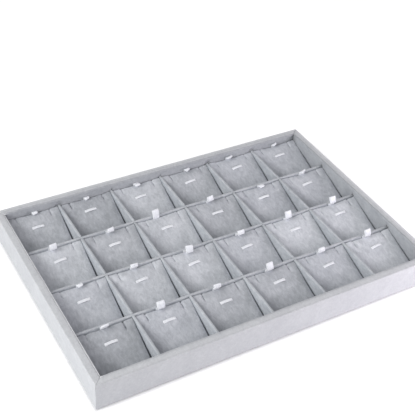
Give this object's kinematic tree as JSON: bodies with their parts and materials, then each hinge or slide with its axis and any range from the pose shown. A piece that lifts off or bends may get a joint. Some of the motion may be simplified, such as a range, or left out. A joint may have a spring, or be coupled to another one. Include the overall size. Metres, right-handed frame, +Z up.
{
  "type": "necklace display tray",
  "caption": "Shallow velvet-wrapped tray whose cross-halved dividers hold sloped, lift-out pads with pendant straps, chain slits and ribbon pull tabs.",
  "frame": {"origin": "on the surface the tray stands on, below the middle of its outline", "axes": "+X along the long side to the right, +Y from the low front edges of the pads to their raised back edges, +Z up"},
  "size_m": [0.35, 0.24, 0.0319],
  "materials": {
    "rail_velvet": "short-pile velvet wrapped over board",
    "liner_velvet": "short-pile velvet wrapped over card",
    "divider_velvet": "short-pile velvet wrapped over board",
    "pad_velvet": "short-pile velvet over foam",
    "floor_velvet": "short-pile velvet",
    "satin_ribbon": "satin",
    "fibreboard": "bare",
    "backing_felt": "matt felt"
  },
  "bodies": {
    "tray": {"underside_sheet": "backing_felt", "base_board": "fibreboard", "floor_lining": "floor_velvet", "front_rail": "rail_velvet", "back_rail": "rail_velvet", "left_rail": "rail_velvet", "right_rail": "rail_velvet", "liner_boards": "liner_velvet", "row_divider_1": "divider_velvet", "row_divider_2": "divider_velvet", "row_divider_3": "divider_velvet", "column_dividers": "divider_velvet"},
    "pad_row1_col1": {"pad_row1_col1": "pad_velvet", "ribbons_row1_col1": "satin_ribbon"},
    "pad_row1_col2": {"pad_row1_col2": "pad_velvet", "ribbons_row1_col2": "satin_ribbon"},
    "pad_row1_col3": {"pad_row1_col3": "pad_velvet", "ribbons_row1_col3": "satin_ribbon"},
    "pad_row1_col4": {"pad_row1_col4": "pad_velvet", "ribbons_row1_col4": "satin_ribbon"},
    "pad_row1_col5": {"pad_row1_col5": "pad_velvet", "ribbons_row1_col5": "satin_ribbon"},
    "pad_row1_col6": {"pad_row1_col6": "pad_velvet", "ribbons_row1_col6": "satin_ribbon"},
    "pad_row2_col1": {"pad_row2_col1": "pad_velvet", "ribbons_row2_col1": "satin_ribbon"},
    "pad_row2_col2": {"pad_row2_col2": "pad_velvet", "ribbons_row2_col2": "satin_ribbon"},
    "pad_row2_col3": {"pad_row2_col3": "pad_velvet", "ribbons_row2_col3": "satin_ribbon"},
    "pad_row2_col4": {"pad_row2_col4": "pad_velvet", "ribbons_row2_col4": "satin_ribbon"},
    "pad_row2_col5": {"pad_row2_col5": "pad_velvet", "ribbons_row2_col5": "satin_ribbon"},
    "pad_row2_col6": {"pad_row2_col6": "pad_velvet", "ribbons_row2_col6": "satin_ribbon"},
    "pad_row3_col1": {"pad_row3_col1": "pad_velvet", "ribbons_row3_col1": "satin_ribbon"},
    "pad_row3_col2": {"pad_row3_col2": "pad_velvet", "ribbons_row3_col2": "satin_ribbon"},
    "pad_row3_col3": {"pad_row3_col3": "pad_velvet", "ribbons_row3_col3": "satin_ribbon"},
    "pad_row3_col4": {"pad_row3_col4": "pad_velvet", "ribbons_row3_col4": "satin_ribbon"},
    "pad_row3_col5": {"pad_row3_col5": "pad_velvet", "ribbons_row3_col5": "satin_ribbon"},
    "pad_row3_col6": {"pad_row3_col6": "pad_velvet", "ribbons_row3_col6": "satin_ribbon"},
    "pad_row4_col1": {"pad_row4_col1": "pad_velvet", "ribbons_row4_col1": "satin_ribbon"},
    "pad_row4_col2": {"pad_row4_col2": "pad_velvet", "ribbons_row4_col2": "satin_ribbon"},
    "pad_row4_col3": {"pad_row4_col3": "pad_velvet", "ribbons_row4_col3": "satin_ribbon"},
    "pad_row4_col4": {"pad_row4_col4": "pad_velvet", "ribbons_row4_col4": "satin_ribbon"},
    "pad_row4_col5": {"pad_row4_col5": "pad_velvet", "ribbons_row4_col5": "satin_ribbon"},
    "pad_row4_col6": {"pad_row4_col6": "pad_velvet", "ribbons_row4_col6": "satin_ribbon"}
  },
  "joints": [
    {"name": "lift_row1_col1", "type": "slide", "parent": "tray", "child": "pad_row1_col1", "axis": [0, 0, 1], "range_m": [0, 0.045]},
    {"name": "lift_row1_col2", "type": "slide", "parent": "tray", "child": "pad_row1_col2", "axis": [0, 0, 1], "range_m": [0, 0.045]},
    {"name": "lift_row1_col3", "type": "slide", "parent": "tray", "child": "pad_row1_col3", "axis": [0, 0, 1], "range_m": [0, 0.045]},
    {"name": "lift_row1_col4", "type": "slide", "parent": "tray", "child": "pad_row1_col4", "axis": [0, 0, 1], "range_m": [0, 0.045]},
    {"name": "lift_row1_col5", "type": "slide", "parent": "tray", "child": "pad_row1_col5", "axis": [0, 0, 1], "range_m": [0, 0.045]},
    {"name": "lift_row1_col6", "type": "slide", "parent": "tray", "child": "pad_row1_col6", "axis": [0, 0, 1], "range_m": [0, 0.045]},
    {"name": "lift_row2_col1", "type": "slide", "parent": "tray", "child": "pad_row2_col1", "axis": [0, 0, 1], "range_m": [0, 0.045]},
    {"name": "lift_row2_col2", "type": "slide", "parent": "tray", "child": "pad_row2_col2", "axis": [0, 0, 1], "range_m": [0, 0.045]},
    {"name": "lift_row2_col3", "type": "slide", "parent": "tray", "child": "pad_row2_col3", "axis": [0, 0, 1], "range_m": [0, 0.045]},
    {"name": "lift_row2_col4", "type": "slide", "parent": "tray", "child": "pad_row2_col4", "axis": [0, 0, 1], "range_m": [0, 0.045]},
    {"name": "lift_row2_col5", "type": "slide", "parent": "tray", "child": "pad_row2_col5", "axis": [0, 0, 1], "range_m": [0, 0.045]},
    {"name": "lift_row2_col6", "type": "slide", "parent": "tray", "child": "pad_row2_col6", "axis": [0, 0, 1], "range_m": [0, 0.045]},
    {"name": "lift_row3_col1", "type": "slide", "parent": "tray", "child": "pad_row3_col1", "axis": [0, 0, 1], "range_m": [0, 0.045]},
    {"name": "lift_row3_col2", "type": "slide", "parent": "tray", "child": "pad_row3_col2", "axis": [0, 0, 1], "range_m": [0, 0.045]},
    {"name": "lift_row3_col3", "type": "slide", "parent": "tray", "child": "pad_row3_col3", "axis": [0, 0, 1], "range_m": [0, 0.045]},
    {"name": "lift_row3_col4", "type": "slide", "parent": "tray", "child": "pad_row3_col4", "axis": [0, 0, 1], "range_m": [0, 0.045]},
    {"name": "lift_row3_col5", "type": "slide", "parent": "tray", "child": "pad_row3_col5", "axis": [0, 0, 1], "range_m": [0, 0.045]},
    {"name": "lift_row3_col6", "type": "slide", "parent": "tray", "child": "pad_row3_col6", "axis": [0, 0, 1], "range_m": [0, 0.045]},
    {"name": "lift_row4_col1", "type": "slide", "parent": "tray", "child": "pad_row4_col1", "axis": [0, 0, 1], "range_m": [0, 0.045]},
    {"name": "lift_row4_col2", "type": "slide", "parent": "tray", "child": "pad_row4_col2", "axis": [0, 0, 1], "range_m": [0, 0.045]},
    {"name": "lift_row4_col3", "type": "slide", "parent": "tray", "child": "pad_row4_col3", "axis": [0, 0, 1], "range_m": [0, 0.045]},
    {"name": "lift_row4_col4", "type": "slide", "parent": "tray", "child": "pad_row4_col4", "axis": [0, 0, 1], "range_m": [0, 0.045]},
    {"name": "lift_row4_col5", "type": "slide", "parent": "tray", "child": "pad_row4_col5", "axis": [0, 0, 1], "range_m": [0, 0.045]},
    {"name": "lift_row4_col6", "type": "slide", "parent": "tray", "child": "pad_row4_col6", "axis": [0, 0, 1], "range_m": [0, 0.045]}
  ]
}
